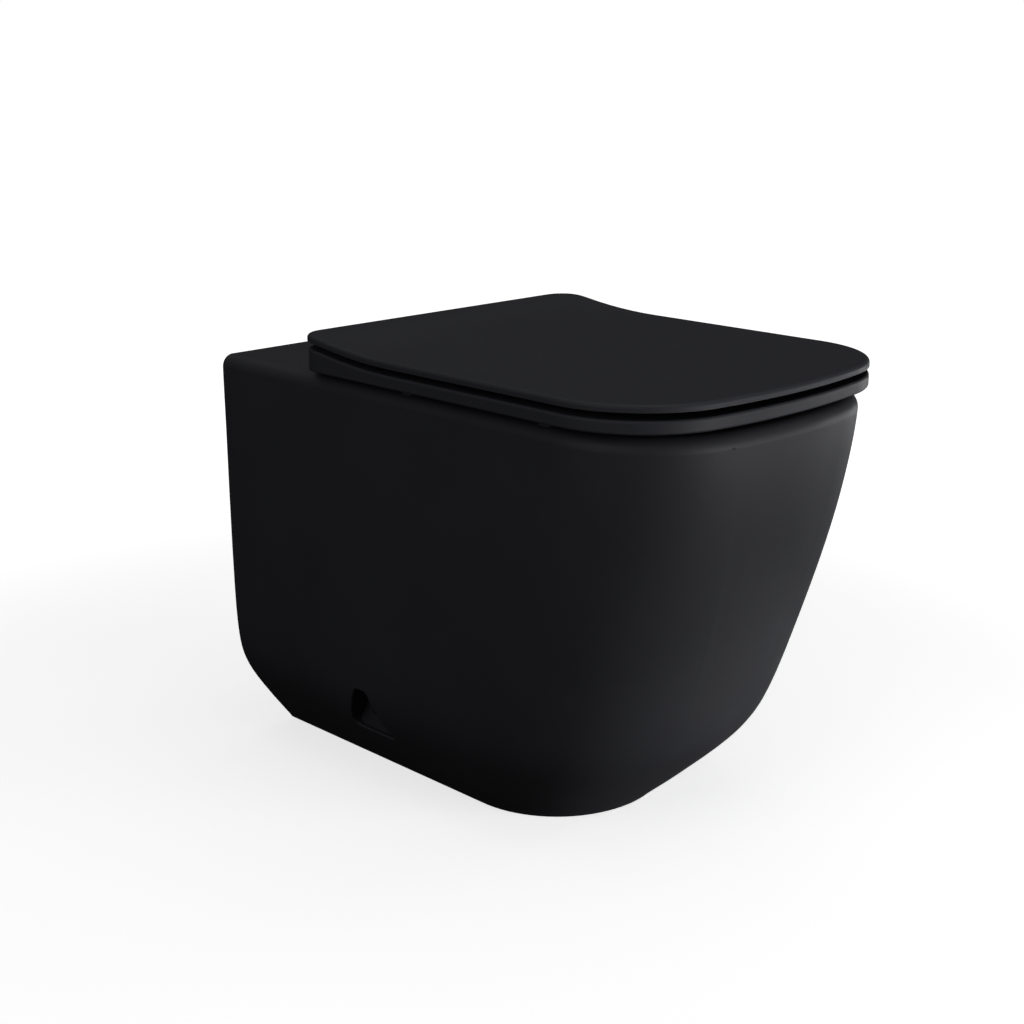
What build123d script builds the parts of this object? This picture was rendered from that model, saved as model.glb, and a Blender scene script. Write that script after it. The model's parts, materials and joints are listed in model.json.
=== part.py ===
from build123d import *
from math import atan2, degrees, hypot, radians, sin, sqrt, tan
import os

# A back to wall toilet: a floor standing pan with a slim soft-close seat and lid, in millimetres.
# +Z is up, the wall is the plane Y = 0, the bowl points to -Y and X = 0 is the plane of symmetry.

# Pan, outside
rim_height = 400.0
pan_width = 339.0
front_limit = 568.5
belly_front = 470.0
foot_width = 203.0
foot_length = 393.0
side_slope = 51.5
side_knee = 23.0
toe_slope = 41.0
toe_knee = 24.0
front_lean = 0.30
front_knee = 20.0
rim_corner_share = 0.66
foot_corner_share = 0.95
rim_bow_share = 2.72
foot_bow_share = 1.06
rim_rounding = 12.0

# Pan, inside
skirt_wall = 10.0
deck_thickness = 22.0
bowl_wall = 9.0
mouth_width = 236.0
mouth_rear = 228.0
mouth_length = 282.0
mouth_rounding = 7.0
bowl_curve = 1.9
bowl_shares = (1.0, 0.8, 0.6, 0.42)
sump_width = 60.0
sump_rear = 268.0
sump_length = 62.0
sump_floor = 95.0
trap_bore = 54.0
trap_wall = 8.0
trap_bend = 38.0
trap_rise_start = 10.0
trap_rise_run = 52.0
trap_fall_start = 47.0
trap_fall_end = 25.0
trap_end_gap = 4.0
dip_height = 125.0
crest_height = 235.0
outlet_height = 180.0
outlet_diameter = 102.0
outlet_bore = 86.0
outlet_length = 44.0
outlet_recess = 60.0
inlet_height = 335.0
inlet_bore = 55.0
inlet_wall = 9.0
inlet_recess = 66.0

# Side fixings
pocket_from_wall = 182.0
pocket_width = 64.0
pocket_floor = 50.0
pocket_height = 52.0
pocket_top_width = 16.0
pocket_top_shift = 8.0
pocket_corner = 6.0
pocket_edge_rounding = 1.5
pocket_back = 133.0
pocket_wall = 9.0
side_hole = 11.0
side_hole_height = 73.0
side_hole_from_wall = 184.0
side_screw = 6.0
side_screw_head = 13.0
side_screw_head_height = 4.0
drive_length = 6.0
drive_width = 1.6
sleeve_wall = 1.8
bracket_thickness = 4.0
bracket_width = 44.0
bracket_reach = 42.0
bracket_height = 86.0
bracket_hole = 8.0
bracket_boss = 14.0
bracket_boss_length = 10.0
bracket_hole_spacing = 24.0
sleeve_beyond = 3.0

# Seat and lid
seat_width = 355.0
seat_rear = 128.0
seat_length = 434.5
seat_corner = 98.0
seat_bow = 595.0
seat_rear_corner = 27.0
ring_thickness = 11.6
ring_band = 62.0
opening_width = 226.0
opening_rear = 232.0
lid_thickness = 6.2
lid_skin = 4.0
lid_skirt = 7.0
rear_rise = 9.4
rise_start = 8.0
rise_run = 122.0
rise_upper_share = 0.25
pan_gap = 5.5
lid_gap = 6.2
lid_edge_rounding = 3.4
ring_edge_rounding = 2.4
lid_overhang = 1.5
ring_lower_rounding = 2.0
channel_front_gap = 10.0
channel_top_gap = 1.0

# Seat bumpers and lid bumpers
bumper_length = 14.0
bumper_width = 9.0
bumper_inset = 17.5
bumper_peg = 5.0
bumper_peg_length = 4.0
front_bumper_setback = 132.5
rear_bumper_from_wall = 264.0
lid_bumper_diameter = 12.0
lid_bumper_relief = 0.2
lid_bumper_rounding = 1.5
rear_lid_bumper_from_wall = 268.0
front_lid_bumper_setback = 98.0

# Hinges
hinge_spacing = 155.0
hinge_axis_height = 21.0
lid_behind_axis = 10.5
web_overlap = 1.1
arm_width = 19.0
arm_depth = 16.0
arm_reach = 30.0
arm_rounding = 2.0
arm_thickness = 6.5
arm_drop = 3.0
knuckle_diameter = 16.0
spindle_diameter = 6.0
damper_diameter = 9.2
damper_length = 36.0
groove_width = 1.2
groove_depth = 0.6
groove_shares = (0.15, 0.8)
lug_length = 11.0
lid_knuckle_length = 37.0
knuckle_length = 13.0
side_gap = 1.0
notch_reach = 12.0
base_diameter = 36.0
base_thickness = 3.0
button_diameter = 6.0
button_proud = 3.0
button_travel = 2.5
button_depth = 9.0
button_roof = 1.2
button_rounding = 0.8
stud_diameter = 8.0
stud_grip = 5.0
stud_length = 78.0
fixing_hole = 15.0
bush_collar = 22.0
bush_collar_thickness = 4.0
washer_diameter = 30.0
washer_thickness = 2.5
nut_diameter = 34.0
nut_height = 20.0
nut_flange = 3.0
nut_wing_span = 40.0
nut_wing_width = 6.0

# Clearances
running_fit = 0.05
slide_fit = 0.15
assembly_gap = 0.4

# Flush inlet seal
seal_bore = 45.0
seal_length = 34.0
seal_flange = 66.0
seal_flange_thickness = 4.0

sides = {"left": -1, "right": 1}
os.makedirs("parts", exist_ok=True)


def save(part, name):
    part.label = name
    export_step(part, f"parts/{name}.step")


def softer_of(a, b, knee):
    # The lesser of two values, with a rounded change from one to the other.
    return (a + b) / 2 - hypot(a - b, knee) / 2


def start_of_slope(foot, upper, knee):
    # Where the sloping line has to start so that the rounded shape meets the foot.
    return foot + knee**2 / (4 * (upper - foot))


def pan_half_width(height):
    start = start_of_slope(foot_width / 2, pan_width / 2, side_knee)
    return softer_of(pan_width / 2, start + height / tan(radians(side_slope)), side_knee)


def pan_front(height):
    upper = softer_of(front_limit, belly_front + front_lean * height, front_knee)
    start = start_of_slope(foot_length, belly_front, toe_knee)
    return softer_of(upper, start + height / tan(radians(toe_slope)), toe_knee)


def d_outline(plane, half_width, rear, front, corner, bow, rear_corner=0.0):
    # A plan outline with a straight rear, straight sides, two front corners and a slightly bowed front.
    # Rear and front are distances from the wall, and a negative rear lies beyond the wall plane.
    bow_centre = bow - front
    corner_x = half_width - corner
    corner_y = bow_centre - sqrt((bow - corner) ** 2 - corner_x**2)
    turn = degrees(atan2(bow_centre - corner_y, corner_x))
    with BuildSketch(plane) as outline:
        with BuildLine():
            right = Line((half_width, -rear), (half_width, corner_y))
            CenterArc((corner_x, corner_y), corner, 0, -turn)
            CenterArc((0, bow_centre), bow, -turn, -(180 - 2 * turn))
            CenterArc((-corner_x, corner_y), corner, turn - 180, -turn)
            left = Line((-half_width, corner_y), (-half_width, -rear))
            Line(left @ 1, right @ 0)
        make_face()
        if rear_corner > 0:
            fillet(outline.vertices().group_by(Axis.Y)[-1], rear_corner)
    return outline.sketch


def pan_section(height, inset=0.0):
    half_width = pan_half_width(height)
    share = height / rim_height
    corner = half_width * (foot_corner_share + (rim_corner_share - foot_corner_share) * share)
    bow = half_width * (foot_bow_share + (rim_bow_share - foot_bow_share) * share)
    beyond_wall = -2 * skirt_wall
    plane = Plane.XY.offset(height)
    return d_outline(
        plane, half_width - inset, beyond_wall, pan_front(height) - inset, corner - inset, bow - inset
    )


def bowl_section(height, outside=0.0):
    # The bowl is an oval that shrinks and moves to the rear as it goes down.
    share = (rim_height - height) / (rim_height - sump_floor)
    narrowing = share**bowl_curve
    width = mouth_width + (sump_width - mouth_width) * narrowing
    rear = mouth_rear + (sump_rear - mouth_rear) * share
    length = mouth_length + (sump_length - mouth_length) * narrowing
    with BuildSketch(Plane.XY.offset(height)) as section:
        with Locations((0, -rear - length / 2)):
            Ellipse(width / 2 + outside, length / 2 + outside)
    return section.sketch


# Heights of the pan's sections, closer together around the knee above the foot
knee_height = (pan_width - foot_width) / 2 * tan(radians(side_slope))
knee_shares = (0.0, 0.25, 0.5, 0.75, 1.0, 1.3, 1.7)
upper_shares = (0.25, 0.5, 0.75, 1.0)
least_step = 20.0
upper_start = knee_height * knee_shares[-1]
section_heights = [knee_height * share for share in knee_shares]
section_heights += [upper_start + (rim_height - upper_start) * share for share in upper_shares]

# Places that several pieces share
axis_y = -(seat_rear + lid_behind_axis)
axis_z = rim_height + hinge_axis_height
hinge_x = hinge_spacing / 2
stem_y = axis_y - arm_reach
ring_bottom = rim_height + pan_gap
ring_top = ring_bottom + ring_thickness
lid_bottom = ring_top + lid_gap
lid_top = lid_bottom + lid_thickness
seat_front = seat_rear + seat_length
arm_inner = hinge_x - arm_width / 2
arm_outer = hinge_x + arm_width / 2
lid_knuckle_outer = arm_inner - side_gap
lid_knuckle_inner = lid_knuckle_outer - lid_knuckle_length
notch_inner = lid_knuckle_inner - side_gap
seat_knuckle_inner = arm_outer + side_gap
notch_outer = seat_knuckle_inner + knuckle_length
spindle_inner = notch_inner - lug_length
spindle_outer = notch_outer + damper_length
boss_inner = pocket_back - pocket_wall

# Trapway centre line, from the sump over the crest to the outlet
outlet_end = -outlet_recess
outlet_start = outlet_end - outlet_length
trap_points = [
    (0, -(sump_rear + sump_length / 2), dip_height),
    (0, -(sump_rear - trap_rise_start), dip_height),
    (0, -(sump_rear - trap_rise_start - trap_rise_run), crest_height),
    (0, outlet_start - trap_fall_start, crest_height),
    (0, outlet_start - trap_fall_end, outlet_height),
    (0, outlet_end - trap_end_gap, outlet_height),
]


def trap_tube(radius):
    with BuildPart() as tube:
        with BuildLine() as route:
            FilletPolyline(*trap_points, radius=trap_bend)
        with BuildSketch(Plane(origin=trap_points[0], z_dir=(0, 1, 0))):
            Circle(radius)
        sweep(path=route.line)
    return tube.part


deck_bottom = rim_height - deck_thickness
bowl_tops = [rim_height * share for share in bowl_shares]
lower_heights = [height for height in section_heights if height < deck_bottom - least_step]

# The space inside the bowl
with BuildPart() as water:
    loft(sections=[bowl_section(height) for height in bowl_tops + [sump_floor]])

# The space inside the skirt, without the bosses of the side fixings
with BuildPart() as air_space:
    loft(sections=[pan_section(height, skirt_wall) for height in lower_heights + [deck_bottom]])
    for side in sides.values():
        boss_width = pocket_width + 2 * pocket_wall
        boss_top = pocket_floor + pocket_height + pocket_wall
        with BuildSketch(Plane.XZ.offset(pocket_from_wall - boss_width / 2)) as boss:
            with Locations((side * (boss_inner + pan_width / 4), boss_top / 2)):
                Rectangle(pan_width / 2, boss_top)
        extrude(amount=boss_width, mode=Mode.SUBTRACT)

# Skirt and deck of the vitreous china pan, with the side recesses of the floor fixings
with BuildPart() as pan:
    loft(sections=[pan_section(height) for height in section_heights])
    split(bisect_by=Plane.XZ, keep=Keep.TOP)
    rim_edges = pan.faces().sort_by(Axis.Z)[-1].edges()
    fillet(rim_edges.sort_by(Axis.Y)[:-1], rim_rounding)
    add(water.part, mode=Mode.SUBTRACT)
    fillet(pan.faces().sort_by(Axis.Z)[-1].inner_wires()[0].edges(), mouth_rounding)
    add(air_space.part, mode=Mode.SUBTRACT)
    with BuildSketch(Plane.XY.offset(rim_height)) as fixing_holes:
        with Locations((-hinge_x, stem_y), (hinge_x, stem_y)):
            Circle(fixing_hole / 2)
    extrude(amount=-2 * deck_thickness, mode=Mode.SUBTRACT)
    for side in sides.values():
        pocket_top = pocket_floor + pocket_height
        top_middle = -pocket_from_wall - pocket_top_shift
        with BuildSketch(Plane.YZ.offset(side * pocket_back)) as pocket:
            with BuildLine():
                Polyline(
                    (-pocket_from_wall - pocket_width / 2, pocket_floor),
                    (-pocket_from_wall + pocket_width / 2, pocket_floor),
                    (top_middle + pocket_top_width / 2, pocket_top),
                    (top_middle - pocket_top_width / 2, pocket_top),
                    close=True,
                )
            make_face()
            fillet(pocket.vertices(), pocket_corner)
        extrude(amount=side * pan_width / 2, mode=Mode.SUBTRACT)
        pocket_edges = pan.edges(Select.LAST).filter_by(lambda edge: abs(edge.center().X) > pocket_back + 1)
        fillet(pocket_edges.filter_by(Axis.X, reverse=True), pocket_edge_rounding)
        with BuildSketch(Plane.YZ.offset(side * (boss_inner - side_screw))) as side_bore:
            with Locations((-side_hole_from_wall, side_hole_height)):
                Circle(side_hole / 2)
        extrude(amount=side * (pocket_wall + 2 * side_screw), mode=Mode.SUBTRACT)
save(pan.part, "pan")

# Bowl of the same casting, below the deck, with the trapway, the outlet spigot and the flush inlet
with BuildPart() as bowl:
    loft(sections=[bowl_section(height, bowl_wall) for height in bowl_tops + [sump_floor - bowl_wall]])
    split(bisect_by=Plane.XY.offset(deck_bottom), keep=Keep.BOTTOM)
    add(trap_tube(trap_bore / 2 + trap_wall))
    with BuildSketch(Plane.XZ.offset(-outlet_start)) as spigot:
        with Locations((0, outlet_height)):
            Circle(outlet_diameter / 2)
    extrude(amount=-outlet_length)
    with BuildSketch(Plane.XZ.offset(inlet_recess)) as inlet_boss:
        with Locations((0, inlet_height)):
            Circle(inlet_bore / 2 + inlet_wall)
    extrude(amount=mouth_rear + bowl_wall - inlet_recess)
    add(water.part, mode=Mode.SUBTRACT)
    add(trap_tube(trap_bore / 2), mode=Mode.SUBTRACT)
    with BuildSketch(Plane.XZ.offset(-outlet_end)) as outlet_mouth:
        with Locations((0, outlet_height)):
            Circle(outlet_bore / 2)
    extrude(amount=outlet_length - trap_wall, mode=Mode.SUBTRACT)
    with BuildSketch(Plane.XZ.offset(inlet_recess)) as inlet_mouth:
        with Locations((0, inlet_height)):
            Circle(inlet_bore / 2)
    extrude(amount=mouth_rear + 2 * bowl_wall - inlet_recess, mode=Mode.SUBTRACT)
save(bowl.part, "bowl")
for name, piece in {"pan": pan, "bowl": bowl}.items():
    print(name, piece.part.is_valid, round(piece.part.volume / 1e6, 2), "litres", len(piece.solids()))


def rising_edge(low):
    # The raised rear, an S of a short and a long arc, and the low front, at one level of the seat or lid.
    high = low + rear_rise
    start_y = -(seat_rear + rise_start)
    end_y = start_y - rise_run
    turn = 2 * atan2(rear_rise, rise_run)
    upper_bend = rise_run * rise_upper_share / sin(turn)
    lower_bend = rise_run * (1 - rise_upper_share) / sin(turn)
    Line((0, high), (start_y, high))
    CenterArc((start_y, high - upper_bend), upper_bend, 90, degrees(turn))
    CenterArc((end_y, low + lower_bend), lower_bend, 270, degrees(turn))
    Line((end_y, low), (-(seat_front + ring_band), low))


def side_profile(bottom, top, bottom_rises):
    # A side view of the ring or the lid, long enough for the plan outline to cut it.
    front_y = -(seat_front + ring_band)
    with BuildSketch(Plane.YZ.offset(-seat_width)) as profile:
        with BuildLine():
            rising_edge(top)
            if bottom_rises:
                rising_edge(bottom)
                Line((0, bottom + rear_rise), (0, top + rear_rise))
            else:
                Line((0, bottom), (front_y, bottom))
                Line((0, bottom), (0, top + rear_rise))
            Line((front_y, bottom), (front_y, top))
        make_face()
    return profile.sketch


def seat_outline(inset=0.0, rear_inset=0.0):
    return d_outline(
        Plane.XY.offset(rim_height),
        seat_width / 2 - inset,
        seat_rear + inset + rear_inset,
        seat_front - inset,
        seat_corner - inset,
        seat_bow - inset,
        seat_rear_corner - inset,
    )


def along_hinge(inner, outer, side, radius):
    # A round bar on the hinge axis, between two distances from the middle of the seat.
    with BuildPart() as bar:
        with BuildSketch(Plane.YZ.offset(side * inner)):
            with Locations((axis_y, axis_z)):
                Circle(radius)
        extrude(amount=side * (outer - inner))
    return bar.part


def block(x_range, y_range, z_range):
    # A box between two values on each axis.
    with BuildPart() as box:
        with BuildSketch(Plane.XY.offset(z_range[0])):
            with Locations(((x_range[0] + x_range[1]) / 2, (y_range[0] + y_range[1]) / 2)):
                Rectangle(abs(x_range[1] - x_range[0]), abs(y_range[1] - y_range[0]))
        extrude(amount=z_range[1] - z_range[0])
    return box.part


def side_range(side, inner, outer):
    return (side * inner, side * outer)


arm_top = axis_z - arm_drop
channel_top = arm_top + channel_top_gap
full_height = lid_top + 2 * rear_rise - rim_height
knuckle = knuckle_diameter / 2
spindle_hole = spindle_diameter / 2 + running_fit
damper_hole = damper_diameter / 2 + running_fit
seat_bumper_places = [
    (side * (seat_width / 2 - bumper_inset), -distance)
    for side in sides.values()
    for distance in (rear_bumper_from_wall, seat_front - front_bumper_setback)
]
lid_bumper_places = [
    (side * (seat_width / 2 - ring_band / 2), -distance)
    for side in sides.values()
    for distance in (rear_lid_bumper_from_wall, seat_front - front_lid_bumper_setback)
]


def outer_top_edges(piece):
    # The edges round the top of a piece and not those between its top faces.
    top_faces = piece.faces().filter_by(lambda face: face.normal_at().Z > 0.5)
    shared = [sum(1 for face in top_faces if edge in face.edges()) for edge in top_faces.edges()]
    return [edge for edge, count in zip(top_faces.edges(), shared) if count == 1]


def round_bar(plane, centre, radius, length):
    # A cylinder that starts on a plane and runs along its normal.
    with BuildPart() as bar:
        with BuildSketch(plane):
            with Locations(centre):
                Circle(radius)
        extrude(amount=length)
    return bar.part


# Seat ring, with notches at the rear for the hinges and a raised rear bar that holds them
with BuildPart() as seat_ring:
    extrude(side_profile(ring_bottom, ring_top, False), amount=2 * seat_width)
    extrude(seat_outline(rear_inset=lid_overhang), amount=full_height, mode=Mode.INTERSECT)
    opening = d_outline(
        Plane.XY.offset(rim_height),
        opening_width / 2,
        opening_rear,
        seat_front - ring_band,
        seat_corner - ring_band / 2,
        seat_bow / 2,
        opening_width / 3,
    )
    extrude(opening, amount=full_height, mode=Mode.SUBTRACT)
    fillet(outer_top_edges(seat_ring), ring_edge_rounding)
    fillet(seat_ring.faces().sort_by(Axis.Z)[0].edges(), ring_lower_rounding)
    for side in sides.values():
        notch_x = side_range(side, notch_inner, notch_outer)
        notch_y = (axis_y - notch_reach, axis_y + 2 * lid_behind_axis)
        add(block(notch_x, notch_y, (rim_height, lid_top + rear_rise)), mode=Mode.SUBTRACT)
        add(along_hinge(seat_knuckle_inner, notch_outer + lug_length, side, knuckle))
        channel_x = side_range(side, arm_inner - side_gap, arm_outer + side_gap)
        channel_y = (stem_y - arm_depth / 2 - channel_front_gap, axis_y - notch_reach + side_gap)
        add(block(channel_x, channel_y, (rim_height, channel_top)), mode=Mode.SUBTRACT)
        spindle_bore = along_hinge(spindle_inner, spindle_outer, side, spindle_hole)
        add(spindle_bore, mode=Mode.SUBTRACT)
        damper_bore = along_hinge(notch_outer, spindle_outer + assembly_gap, side, damper_hole)
        add(damper_bore, mode=Mode.SUBTRACT)
    with BuildSketch(Plane.XY.offset(rim_height)) as peg_holes:
        with Locations(*seat_bumper_places):
            Circle(bumper_peg / 2 + slide_fit)
    extrude(amount=pan_gap + bumper_peg_length + assembly_gap, mode=Mode.SUBTRACT)
save(seat_ring.part, "seat_ring")

# Lid, a thin shell with a skirt round its edge and two hinge knuckles below it
lid_ceiling = lid_top - lid_skin
with BuildPart() as lid_hollow:
    extrude(side_profile(lid_bottom - lid_gap, lid_ceiling, True), amount=2 * seat_width)
    extrude(seat_outline(inset=lid_skirt), amount=full_height, mode=Mode.INTERSECT)
with BuildPart() as lid:
    extrude(side_profile(lid_bottom, lid_top, True), amount=2 * seat_width)
    extrude(seat_outline(), amount=full_height, mode=Mode.INTERSECT)
    fillet(outer_top_edges(lid), lid_edge_rounding)
    add(lid_hollow.part, mode=Mode.SUBTRACT)
    for side in sides.values():
        knuckle_x = side_range(side, lid_knuckle_inner, lid_knuckle_outer)
        web_top = lid_ceiling + rear_rise + web_overlap
        add(block(knuckle_x, (axis_y - knuckle, axis_y + knuckle), (axis_z, web_top)))
        add(along_hinge(lid_knuckle_inner, lid_knuckle_outer, side, knuckle))
        through = along_hinge(spindle_inner, lid_knuckle_outer + side_gap, side, spindle_hole)
        add(through, mode=Mode.SUBTRACT)
        cartridge_inner = lid_knuckle_outer - damper_length
        socket = along_hinge(cartridge_inner - assembly_gap, lid_knuckle_outer, side, damper_hole)
        add(socket, mode=Mode.SUBTRACT)
save(lid.part, "lid")

# Rubber bumpers: four under the ring, pegged into it, and four discs under the lid
with BuildPart() as seat_bumpers:
    with BuildSketch(Plane.XY.offset(rim_height)):
        with Locations(*seat_bumper_places):
            SlotOverall(bumper_length, bumper_width, rotation=90)
    extrude(amount=pan_gap)
    with BuildSketch(Plane.XY.offset(ring_bottom)):
        with Locations(*seat_bumper_places):
            Circle(bumper_peg / 2)
    extrude(amount=bumper_peg_length)
save(seat_bumpers.part, "seat_bumpers")

with BuildPart() as lid_bumpers:
    with BuildSketch(Plane.XY.offset(ring_top + lid_bumper_relief)):
        with Locations(*lid_bumper_places):
            Circle(lid_bumper_diameter / 2)
    extrude(amount=lid_ceiling - ring_top - lid_bumper_relief)
    fillet(lid_bumpers.faces().group_by(Axis.Z)[0].edges(), lid_bumper_rounding)
save(lid_bumpers.part, "lid_bumpers")


def make_cartridge(inner, outer, side, name, grooved):
    # A soft-close damper, or the plain bush that matches it, with the spindle's bore closed at the far end.
    radius = damper_diameter / 2
    with BuildPart() as cartridge:
        add(along_hinge(inner, outer, side, radius))
        if grooved:
            for share in groove_shares:
                start = inner + (outer - inner) * share
                add(along_hinge(start, start + groove_width, side, radius * 2), mode=Mode.SUBTRACT)
                add(along_hinge(start, start + groove_width, side, radius - groove_depth))
        add(along_hinge(inner, outer, side, spindle_hole), mode=Mode.SUBTRACT)
    save(cartridge.part, name)


make_cartridge(notch_outer, spindle_outer, -1, "seat_damper_left", True)
make_cartridge(notch_outer, spindle_outer, 1, "seat_bush_right", False)
make_cartridge(lid_knuckle_outer - damper_length, lid_knuckle_outer, -1, "lid_bush_left", False)
make_cartridge(lid_knuckle_outer - damper_length, lid_knuckle_outer, 1, "lid_damper_right", True)

# Hinge hardware on each side: base plate, arm, spindle, release button, stud, bush, washer and nut
base_top = rim_height + base_thickness
stem_front = stem_y - arm_depth / 2
button_z = arm_top - button_roof - button_diameter / 2
washer_top = deck_bottom - bush_collar_thickness
nut_top = washer_top - washer_thickness
stud_hole = stud_diameter / 2 + running_fit
for side_name, side in sides.items():
    fixing = (side * hinge_x, stem_y)

    with BuildPart() as hinge_base:
        with BuildSketch(Plane.XY.offset(rim_height)):
            with Locations(fixing):
                Circle(base_diameter / 2)
                Circle(stud_hole, mode=Mode.SUBTRACT)
        extrude(amount=base_thickness)
        chamfer(hinge_base.faces().sort_by(Axis.Z)[-1].outer_wire().edges(), base_thickness / 3)
    save(hinge_base.part, f"hinge_base_{side_name}")

    with BuildPart() as hinge_arm:
        arm_x = side_range(side, arm_inner, arm_outer)
        add(block(arm_x, (stem_front, stem_front + arm_depth), (base_top, arm_top)))
        fillet(hinge_arm.edges().filter_by(Axis.Z), arm_rounding)
        add(block(arm_x, (stem_y, axis_y), (arm_top - arm_thickness, arm_top)))
        add(along_hinge(arm_inner, arm_outer, side, knuckle))
        clear_of_spindle = along_hinge(spindle_inner, spindle_outer, side, spindle_hole)
        add(clear_of_spindle, mode=Mode.SUBTRACT)
        button_bore = button_diameter / 2 + slide_fit
        front_plane = Plane.XZ.offset(-stem_front)
        add(
            round_bar(front_plane, (side * hinge_x, button_z), button_bore, -button_depth),
            mode=Mode.SUBTRACT,
        )
        add(
            round_bar(Plane.XY.offset(base_top), fixing, stud_hole, stud_grip + assembly_gap),
            mode=Mode.SUBTRACT,
        )
    save(hinge_arm.part, f"hinge_arm_{side_name}")

    spindle = along_hinge(
        spindle_inner + assembly_gap, spindle_outer - assembly_gap, side, spindle_diameter / 2
    )
    save(spindle, f"hinge_spindle_{side_name}")

    with BuildPart() as button:
        button_length = button_proud + button_depth - button_travel - assembly_gap
        button_plane = Plane.XZ.offset(-stem_front + button_proud)
        add(
            round_bar(button_plane, (side * hinge_x, button_z), button_diameter / 2, -button_length)
        )
        fillet(button.faces().sort_by(Axis.Y)[0].edges(), button_rounding)
    save(button.part, f"release_button_{side_name}")

    stud = round_bar(
        Plane.XY.offset(base_top + stud_grip), fixing, stud_diameter / 2, -stud_length
    )
    save(stud, f"hinge_stud_{side_name}")

    with BuildPart() as expansion_bush:
        add(
            round_bar(
                Plane.XY.offset(rim_height - assembly_gap),
                fixing,
                fixing_hole / 2 - slide_fit,
                -(deck_thickness - assembly_gap),
            )
        )
        add(round_bar(Plane.XY.offset(deck_bottom), fixing, bush_collar / 2, -bush_collar_thickness))
        bush_bore = round_bar(Plane.XY.offset(rim_height), fixing, stud_hole, -2 * deck_thickness)
        add(bush_bore, mode=Mode.SUBTRACT)
    save(expansion_bush.part, f"expansion_bush_{side_name}")

    with BuildPart() as washer:
        with BuildSketch(Plane.XY.offset(nut_top)):
            with Locations(fixing):
                Circle(washer_diameter / 2)
                Circle(stud_hole, mode=Mode.SUBTRACT)
        extrude(amount=washer_thickness)
    save(washer.part, f"hinge_washer_{side_name}")

    with BuildPart() as nut:
        with BuildSketch(Plane.XY.offset(nut_top - nut_height)):
            with Locations(fixing):
                RegularPolygon(nut_diameter / 3, 6)
                SlotOverall(nut_wing_span, nut_wing_width, rotation=90)
                Circle(stud_hole, mode=Mode.SUBTRACT)
        extrude(amount=nut_height - nut_flange)
        with BuildSketch(Plane.XY.offset(nut_top - nut_flange)):
            with Locations(fixing):
                Circle(nut_diameter / 2)
                Circle(stud_hole, mode=Mode.SUBTRACT)
        extrude(amount=nut_flange)
    save(nut.part, f"hinge_nut_{side_name}")

# Hidden side fixing on each side: floor bracket, sleeve and screw
bracket_outer = foot_width / 2 - skirt_wall - assembly_gap
bracket_inner = bracket_outer - bracket_thickness
screw_hole = side_screw / 2 + running_fit
for side_name, side in sides.items():
    with BuildPart() as bracket:
        bracket_y = (-side_hole_from_wall - bracket_width / 2, -side_hole_from_wall + bracket_width / 2)
        foot_x = side_range(side, bracket_outer - bracket_reach, bracket_outer)
        leg_x = side_range(side, bracket_inner, bracket_outer)
        add(block(foot_x, bracket_y, (0, bracket_thickness)))
        add(block(leg_x, bracket_y, (0, bracket_height)))
        screw_plane = Plane.YZ.offset(side * (bracket_inner - bracket_boss_length))
        screw_place = (-side_hole_from_wall, side_hole_height)
        boss_run = side * (bracket_boss_length + bracket_thickness)
        add(round_bar(screw_plane, screw_place, bracket_boss / 2, boss_run))
        add(round_bar(screw_plane, screw_place, screw_hole, boss_run), mode=Mode.SUBTRACT)
        hole_x = side * (bracket_outer - bracket_reach / 2 - bracket_thickness)
        with BuildSketch(Plane.XY):
            with Locations((hole_x, -side_hole_from_wall)):
                with GridLocations(1, bracket_hole_spacing, 1, 2):
                    Circle(bracket_hole / 2)
        extrude(amount=bracket_thickness, mode=Mode.SUBTRACT)
    save(bracket.part, f"floor_bracket_{side_name}")

    pocket_plane = Plane.YZ.offset(side * pocket_back)
    with BuildPart() as sleeve:
        sleeve_run = pocket_wall + sleeve_beyond
        add(round_bar(pocket_plane, screw_place, side_hole / 2 - slide_fit, -side * sleeve_run))
        add(round_bar(pocket_plane, screw_place, side_screw_head / 2, side * sleeve_wall))
        sleeve_start = Plane.YZ.offset(side * (pocket_back - sleeve_run))
        sleeve_bore = round_bar(sleeve_start, screw_place, screw_hole, side * 2 * sleeve_run)
        add(sleeve_bore, mode=Mode.SUBTRACT)
    save(sleeve.part, f"screw_sleeve_{side_name}")

    with BuildPart() as side_screw_part:
        head_start = pocket_back + sleeve_wall
        head_plane = Plane.YZ.offset(side * head_start)
        shank = head_start - bracket_inner + bracket_boss_length - assembly_gap
        add(round_bar(head_plane, screw_place, side_screw / 2, -side * shank))
        head_rounding = side_screw_head_height / 2
        add(round_bar(head_plane, screw_place, side_screw_head / 2, side * side_screw_head_height))
        fillet(side_screw_part.faces().sort_by(Axis.X)[-1 if side > 0 else 0].edges(), head_rounding)
        drive_plane = Plane.YZ.offset(side * (head_start + side_screw_head_height))
        with BuildSketch(drive_plane):
            with Locations(screw_place):
                Rectangle(drive_length, drive_width)
                Rectangle(drive_width, drive_length)
        extrude(amount=-side * head_rounding, mode=Mode.SUBTRACT)
    save(side_screw_part.part, f"side_screw_{side_name}")

# Rubber seal in the flush inlet, which takes the flush pipe
with BuildPart() as flush_inlet_seal:
    inlet_centre = (0, inlet_height)
    inlet_plane = Plane.XZ.offset(inlet_recess)
    add(round_bar(inlet_plane, inlet_centre, inlet_bore / 2 - slide_fit, seal_length))
    add(round_bar(inlet_plane, inlet_centre, seal_flange / 2, -seal_flange_thickness))
    mouth_plane = Plane.XZ.offset(inlet_recess - seal_flange_thickness)
    seal_hole = round_bar(mouth_plane, inlet_centre, seal_bore / 2, 2 * seal_length)
    add(seal_hole, mode=Mode.SUBTRACT)
save(flush_inlet_seal.part, "flush_inlet_seal")
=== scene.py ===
import json
import math

import bpy
from mathutils import Matrix, Vector

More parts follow.
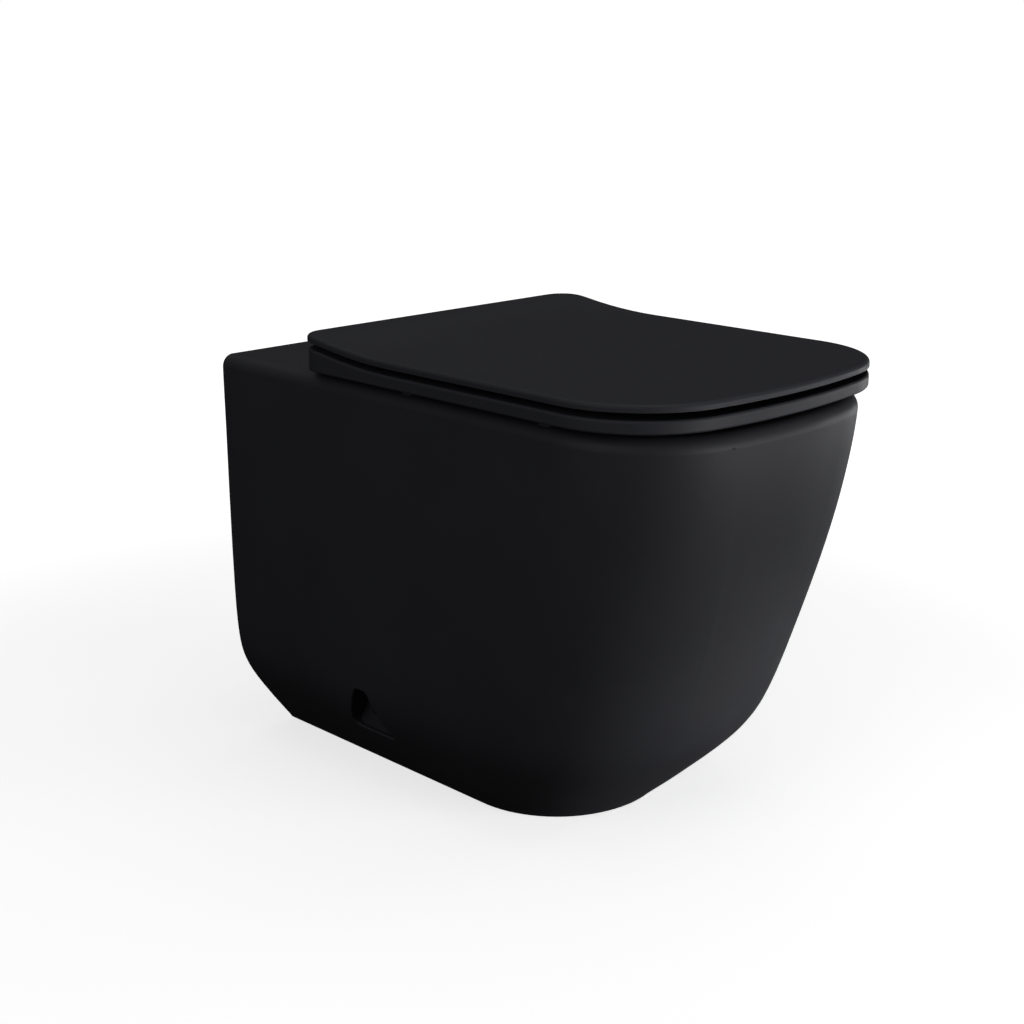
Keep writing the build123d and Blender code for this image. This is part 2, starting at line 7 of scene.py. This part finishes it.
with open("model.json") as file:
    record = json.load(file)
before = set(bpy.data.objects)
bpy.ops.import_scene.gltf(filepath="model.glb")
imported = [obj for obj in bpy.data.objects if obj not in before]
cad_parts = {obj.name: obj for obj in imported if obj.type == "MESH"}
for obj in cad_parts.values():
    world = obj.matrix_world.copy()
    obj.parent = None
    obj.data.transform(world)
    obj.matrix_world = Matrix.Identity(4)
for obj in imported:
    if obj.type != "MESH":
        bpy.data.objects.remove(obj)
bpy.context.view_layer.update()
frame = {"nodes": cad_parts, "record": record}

scene = bpy.context.scene
print("frame loaded with", len(frame["nodes"]), "nodes")


# shader nodes and the groups that several finishes share

def newNode(tree, kind, values=None, **settings):
    # a node with its settings and its sockets' constants
    node = tree.nodes.new(kind)
    for setting, value in settings.items():
        setattr(node, setting, value)
    for socket, value in (values or {}).items():
        node.inputs[socket].default_value = value
    return node


def newGroup(name, numbers, result):
    # a group with a Vector input, some number inputs and one number output
    group = bpy.data.node_groups.new(name, "ShaderNodeTree")
    group.interface.new_socket("Vector", in_out="INPUT", socket_type="NodeSocketVector")
    for label in numbers:
        group.interface.new_socket(label, in_out="INPUT", socket_type="NodeSocketFloat")
    group.interface.new_socket(result, in_out="OUTPUT", socket_type="NodeSocketFloat")
    return group, newNode(group, "NodeGroupInput"), newNode(group, "NodeGroupOutput")


def toneDriftGroup(look):
    # a slow cloudy change between two values
    group, start, end = newGroup("toneDrift", ("Scale", "Low", "High"), "Value")
    link = group.links.new
    noise = newNode(group, "ShaderNodeTexNoise", {"Detail": look["detail"]})
    noiseLow, noiseHigh = look["noiseSpan"]
    spread = newNode(group, "ShaderNodeMapRange", {"From Min": noiseLow, "From Max": noiseHigh})
    link(start.outputs["Vector"], noise.inputs["Vector"])
    link(start.outputs["Scale"], noise.inputs["Scale"])
    link(noise.outputs["Fac"], spread.inputs["Value"])
    link(start.outputs["Low"], spread.inputs["To Min"])
    link(start.outputs["High"], spread.inputs["To Max"])
    link(spread.outputs["Result"], end.inputs["Value"])
    return group


def surfaceGrainGroup(look):
    # fine grain on a slower swell, for a bump's height
    group, start, end = newGroup("surfaceGrain", ("Grain Scale", "Swell Scale", "Swell Share"), "Height")
    link = group.links.new
    grain = newNode(group, "ShaderNodeTexNoise", {"Detail": look["grainDetail"]})
    swell = newNode(group, "ShaderNodeTexNoise", {"Detail": look["swellDetail"]})
    mix = newNode(group, "ShaderNodeMix")
    link(start.outputs["Vector"], grain.inputs["Vector"])
    link(start.outputs["Grain Scale"], grain.inputs["Scale"])
    link(start.outputs["Vector"], swell.inputs["Vector"])
    link(start.outputs["Swell Scale"], swell.inputs["Scale"])
    link(start.outputs["Swell Share"], mix.inputs["Factor"])
    link(grain.outputs["Fac"], mix.inputs["A"])
    link(swell.outputs["Fac"], mix.inputs["B"])
    link(mix.outputs["Result"], end.inputs["Height"])
    return group


def brushLinesGroup(look):
    # scratches drawn out along X, as on satin steel
    group, start, end = newGroup("brushLines", ("Scale",), "Height")
    link = group.links.new
    stretch = newNode(group, "ShaderNodeVectorMath", {1: look["stretch"]}, operation="MULTIPLY")
    noise = newNode(group, "ShaderNodeTexNoise", {"Detail": look["detail"]})
    link(start.outputs["Vector"], stretch.inputs[0])
    link(stretch.outputs["Vector"], noise.inputs["Vector"])
    link(start.outputs["Scale"], noise.inputs["Scale"])
    link(noise.outputs["Fac"], end.inputs["Height"])
    return group


toneDrift = toneDriftGroup({"detail": 3.0, "noiseSpan": (0.3, 0.7)})
surfaceGrain = surfaceGrainGroup({"grainDetail": 2.0, "swellDetail": 1.0})
brushLines = brushLinesGroup({"detail": 4.0, "stretch": (0.06, 1.0, 1.0)})


# finishes: tones are linear colours, scales are per metre, depths are metres

finishes = {
    "mattGlaze": {
        "tones": ((0.0178, 0.0180, 0.0215), (0.0208, 0.0212, 0.0252)), "toneScale": 9.0,
        "roughness": (0.56, 0.62), "roughScale": 14.0, "metallic": 0.0, "specular": 0.3,
        "grainScale": 1400.0, "swellScale": 55.0, "swellShare": 0.8, "depth": 0.0002, "bump": 0.35,
    },
    "seatPlastic": {
        "tones": ((0.0175, 0.0182, 0.0230), (0.0202, 0.0210, 0.0264)), "toneScale": 12.0,
        "roughness": (0.58, 0.64), "roughScale": 22.0, "metallic": 0.0, "specular": 0.3,
        "grainScale": 2200.0, "swellScale": 30.0, "swellShare": 0.4, "depth": 0.00004, "bump": 0.4,
    },
    "blackRubber": {
        "tones": ((0.016, 0.016, 0.016), (0.026, 0.026, 0.026)), "toneScale": 60.0,
        "roughness": (0.68, 0.85), "roughScale": 80.0, "metallic": 0.0, "specular": 0.4,
        "grainScale": 1600.0, "swellScale": 200.0, "swellShare": 0.4, "depth": 0.00015, "bump": 0.6,
    },
    "greyNylon": {
        "tones": ((0.20, 0.205, 0.215), (0.25, 0.255, 0.265)), "toneScale": 50.0,
        "roughness": (0.42, 0.55), "roughScale": 90.0, "metallic": 0.0, "specular": 0.5,
        "grainScale": 1500.0, "swellScale": 150.0, "swellShare": 0.5, "depth": 0.0001, "bump": 0.5,
    },
    "blackNylon": {
        "tones": ((0.014, 0.014, 0.014), (0.020, 0.020, 0.020)), "toneScale": 50.0,
        "roughness": (0.45, 0.58), "roughScale": 90.0, "metallic": 0.0, "specular": 0.5,
        "grainScale": 1500.0, "swellScale": 150.0, "swellShare": 0.5, "depth": 0.0001, "bump": 0.5,
    },
    "blackOxide": {
        "tones": ((0.045, 0.045, 0.050), (0.065, 0.065, 0.070)), "toneScale": 120.0,
        "roughness": (0.42, 0.55), "roughScale": 200.0, "metallic": 1.0, "specular": 0.5,
        "grainScale": 1800.0, "swellScale": 400.0, "swellShare": 0.5, "depth": 0.00005, "bump": 0.5,
    },
    "whiteNylon": {
        "tones": ((0.60, 0.59, 0.56), (0.68, 0.67, 0.64)), "toneScale": 40.0,
        "roughness": (0.40, 0.52), "roughScale": 90.0, "metallic": 0.0, "specular": 0.5,
        "grainScale": 1500.0, "swellScale": 150.0, "swellShare": 0.5, "depth": 0.0001, "bump": 0.5,
    },
    "satinSteel": {
        "tones": ((0.50, 0.50, 0.49), (0.58, 0.58, 0.57)), "toneScale": 70.0,
        "roughness": (0.26, 0.36), "roughScale": 150.0, "metallic": 1.0, "specular": 0.5,
        "lineScale": 900.0, "depth": 0.00004, "bump": 0.5,
    },
    "polishedChrome": {
        "tones": ((0.76, 0.77, 0.78), (0.82, 0.83, 0.84)), "toneScale": 90.0,
        "roughness": (0.07, 0.14), "roughScale": 120.0, "metallic": 1.0, "specular": 0.5,
        "grainScale": 700.0, "swellScale": 90.0, "swellShare": 0.9, "depth": 0.00001, "bump": 0.3,
    },
    "zincPlate": {
        "tones": ((0.52, 0.53, 0.50), (0.60, 0.59, 0.52)), "toneScale": 120.0,
        "roughness": (0.30, 0.42), "roughScale": 200.0, "metallic": 1.0, "specular": 0.5,
        "grainScale": 1800.0, "swellScale": 400.0, "swellShare": 0.5, "depth": 0.00005, "bump": 0.5,
    },
    "galvanisedSteel": {
        "tones": ((0.34, 0.35, 0.36), (0.52, 0.53, 0.54)), "toneScale": 160.0,
        "roughness": (0.34, 0.52), "roughScale": 180.0, "metallic": 1.0, "specular": 0.5,
        "grainScale": 1200.0, "swellScale": 260.0, "swellShare": 0.6, "depth": 0.00008, "bump": 0.5,
    },
}


# where a Mix node keeps its factor, its two colours and the mixed colour
mixFactor, mixColourA, mixColourB, mixedColour = 0, 6, 7, 2


def addGroup(tree, group, place, values):
    node = newNode(tree, "ShaderNodeGroup", values, node_tree=group)
    tree.links.new(place.outputs["Object"], node.inputs["Vector"])
    return node


def makeFinish(name, look):
    material = bpy.data.materials.new(name)
    material.use_nodes = True
    tree = material.node_tree
    link = tree.links.new
    shader = tree.nodes["Principled BSDF"]
    shader.inputs["Metallic"].default_value = look["metallic"]
    shader.inputs["Specular IOR Level"].default_value = look["specular"]
    place = newNode(tree, "ShaderNodeTexCoord")

    drift = addGroup(tree, toneDrift, place, {"Scale": look["toneScale"], "Low": 0.0, "High": 1.0})
    dark, light = look["tones"]
    tones = newNode(
        tree, "ShaderNodeMix", {mixColourA: (*dark, 1.0), mixColourB: (*light, 1.0)}, data_type="RGBA")
    link(drift.outputs["Value"], tones.inputs[mixFactor])
    link(tones.outputs[mixedColour], shader.inputs["Base Color"])

    smooth, rough = look["roughness"]
    sheen = addGroup(tree, toneDrift, place, {"Scale": look["roughScale"], "Low": smooth, "High": rough})
    link(sheen.outputs["Value"], shader.inputs["Roughness"])

    if "lineScale" in look:
        relief = addGroup(tree, brushLines, place, {"Scale": look["lineScale"]})
    else:
        relief = addGroup(tree, surfaceGrain, place, {
            "Grain Scale": look["grainScale"], "Swell Scale": look["swellScale"],
            "Swell Share": look["swellShare"],
        })
    bump = newNode(tree, "ShaderNodeBump", {"Strength": look["bump"], "Distance": look["depth"]})
    link(relief.outputs["Height"], bump.inputs["Height"])
    link(bump.outputs["Normal"], shader.inputs["Normal"])
    return material


finishOfSlot = {
    "pan_glaze": "mattGlaze", "seat_plastic": "seatPlastic", "bumper_rubber": "blackRubber",
    "seal_rubber": "blackRubber", "washer_rubber": "blackRubber", "damper_nylon": "greyNylon",
    "fixing_nylon": "whiteNylon", "hinge_steel": "satinSteel", "button_chrome": "polishedChrome",
    "sleeve_nylon": "blackNylon", "black_screw": "blackOxide", "fixing_steel": "zincPlate",
    "bracket_steel": "galvanisedSteel",
}
made = {name: makeFinish(name, look) for name, look in finishes.items()}
slotOfNode = {entry["node"]: entry["material_slot"] for entry in frame["record"]["subparts"]}
for name, piece in frame["nodes"].items():
    piece.data.materials.clear()
    piece.data.materials.append(made[finishOfSlot[slotOfNode[name]]])
print("finishes made:", len(made))


# floor, room, lamps and camera: places and sizes are metres, angles degrees and powers watts,
# and only the lens's focal length and sensor are millimetres

def grey(tone):
    return (tone, tone, tone, 1.0)


def smoothRange(tree, source, reach, values):
    # goes softly from the first value to the second as the source crosses the reach
    fade = newNode(tree, "ShaderNodeMapRange", {
        "From Min": reach[0], "From Max": reach[1], "To Min": values[0], "To Max": values[1],
    }, interpolation_type="SMOOTHSTEP")
    tree.links.new(source, fade.inputs["Value"])
    return fade.outputs["Result"]


def paintFloor(look):
    # the camera sees a pale floor that brightens with distance, all other rays see a dark one
    material = bpy.data.materials.new("floorPaint")
    material.use_nodes = True
    tree = material.node_tree
    tree.nodes.clear()
    link = tree.links.new
    rays = newNode(tree, "ShaderNodeLightPath")
    where = newNode(tree, "ShaderNodeTexCoord")
    distance = newNode(tree, "ShaderNodeVectorMath", {1: look["middle"]}, operation="DISTANCE")
    pale = newNode(tree, "ShaderNodeBsdfDiffuse", {"Color": grey(look["tone"])})
    lift = newNode(tree, "ShaderNodeEmission")
    bright = newNode(tree, "ShaderNodeAddShader")
    dim = newNode(tree, "ShaderNodeBsdfDiffuse", {"Color": grey(look["bounced"])})
    choose = newNode(tree, "ShaderNodeMixShader")
    out = newNode(tree, "ShaderNodeOutputMaterial")
    link(where.outputs["Object"], distance.inputs[0])
    strength = smoothRange(tree, distance.outputs["Value"], look["liftReach"], look["lift"])
    link(strength, lift.inputs["Strength"])
    link(pale.outputs[0], bright.inputs[0])
    link(lift.outputs[0], bright.inputs[1])
    link(rays.outputs["Is Camera Ray"], choose.inputs[0])
    link(dim.outputs[0], choose.inputs[1])
    link(bright.outputs[0], choose.inputs[2])
    link(choose.outputs[0], out.inputs["Surface"])
    return material


def makeFloor(look):
    half, height = look["half"], look["height"]
    corners = [(-half, -half, height), (half, -half, height), (half, half, height), (-half, half, height)]
    mesh = bpy.data.meshes.new("floor")
    mesh.from_pydata(corners, [], [(0, 1, 2, 3)])
    mesh.materials.append(paintFloor(look))
    floor = bpy.data.objects.new("floor", mesh)
    scene.collection.objects.link(floor)


def makeRoom(look):
    # mirrored rays see a room dark at the horizon and bright overhead,
    # rays from the camera or through a clear piece see white, and the rest see a dim room
    world = bpy.data.worlds.new("room")
    world.use_nodes = True
    scene.world = world
    tree = world.node_tree
    link = tree.links.new
    shade = tree.nodes["Background"]
    shade.inputs["Color"].default_value = grey(1.0)
    rays = newNode(tree, "ShaderNodeLightPath")
    where = newNode(tree, "ShaderNodeTexCoord")
    upward = newNode(tree, "ShaderNodeSeparateXYZ")
    glossy = newNode(tree, "ShaderNodeMix", {"A": look["light"]})
    clear = newNode(tree, "ShaderNodeMath", operation="MAXIMUM")
    seen = newNode(tree, "ShaderNodeMath", operation="MAXIMUM")
    link(where.outputs["Generated"], upward.inputs["Vector"])
    mirrored = smoothRange(tree, upward.outputs["Z"], look["mirrorReach"], look["mirror"])
    link(mirrored, glossy.inputs["B"])
    link(rays.outputs["Is Glossy Ray"], glossy.inputs["Factor"])
    link(rays.outputs["Is Camera Ray"], clear.inputs[0])
    link(rays.outputs["Is Transmission Ray"], clear.inputs[1])
    link(glossy.outputs["Result"], seen.inputs[0])
    link(clear.outputs[0], seen.inputs[1])
    link(seen.outputs[0], shade.inputs["Strength"])


def addLamp(name, lamp):
    # a flat rectangle of light that faces its aim
    light = bpy.data.lights.new(name, "AREA")
    light.shape = "RECTANGLE"
    light.size, light.size_y = lamp["size"]
    light.energy = lamp["power"]
    light.spread = math.radians(lamp["spread"])
    holder = bpy.data.objects.new(name, light)
    holder.location = lamp["at"]
    way = Vector(lamp["aim"]) - Vector(lamp["at"])
    holder.rotation_euler = way.to_track_quat("-Z", "Y").to_euler()
    scene.collection.objects.link(holder)


def setCamera(lens):
    # turn is counted from the front, and back points from the target to the camera
    turn, rise = math.radians(lens["turn"]), math.radians(lens["rise"])
    back = Vector((math.sin(turn) * math.cos(rise), -math.cos(turn) * math.cos(rise), math.sin(rise)))
    across = Vector((math.cos(turn), math.sin(turn), 0.0))
    facing = Matrix((across, back.cross(across), back)).transposed().to_4x4()
    camera = bpy.data.objects.new("camera", bpy.data.cameras.new("camera"))
    camera.data.lens = lens["focal"]
    camera.data.sensor_width = lens["sensor"]
    camera.matrix_world = Matrix.Translation(Vector(lens["target"]) + lens["away"] * back) @ facing
    scene.collection.objects.link(camera)
    scene.camera = camera


makeFloor({
    "half": 12.0, "height": -0.0006, "middle": (0.0, -0.25, 0.0), "tone": 0.80, "bounced": 0.05,
    "lift": (0.68, 0.97), "liftReach": (0.55, 1.5),
})
# mirrorReach is how far up a mirrored ray points, from 0 at the horizon to 1 overhead
makeRoom({"light": 0.16, "mirror": (0.015, 0.80), "mirrorReach": (0.50, 1.0)})
print("floor and room set")

lamps = {
    "topSoftbox": {
        "at": (0.1, -0.6, 2.4), "aim": (0.0, -0.3, 0.3), "size": (2.2, 1.6),
        "power": 4.6, "spread": 180.0,
    },
    "frontSoftbox": {
        "at": (0.6, -2.4, 0.27), "aim": (0.0, -0.45, 0.2), "size": (1.6, 0.5),
        "power": 28.0, "spread": 180.0,
    },
    "rightStrip": {
        "at": (2.0, -0.8, 0.22), "aim": (0.1, -0.4, 0.2), "size": (0.6, 0.42),
        "power": 9.0, "spread": 180.0,
    },
    "toeStrip": {
        "at": (0.75, -1.35, 0.03), "aim": (0.06, -0.42, 0.06), "size": (0.5, 0.05),
        "power": 0.32, "spread": 26.0,
    },
    "leftFill": {
        "at": (-2.2, -0.5, 1.1), "aim": (0.0, -0.3, 0.25), "size": (1.6, 1.6),
        "power": 10.5, "spread": 180.0,
    },
}
for name, lamp in lamps.items():
    addLamp(name, lamp)
setCamera({
    "turn": -44.72, "rise": 16.12, "away": 1.64795, "target": (-0.00202, -0.23250, 0.25434),
    "focal": 59.64, "sensor": 36.0,
})
scene.view_settings.view_transform = "Standard"
print("lamps and camera set")
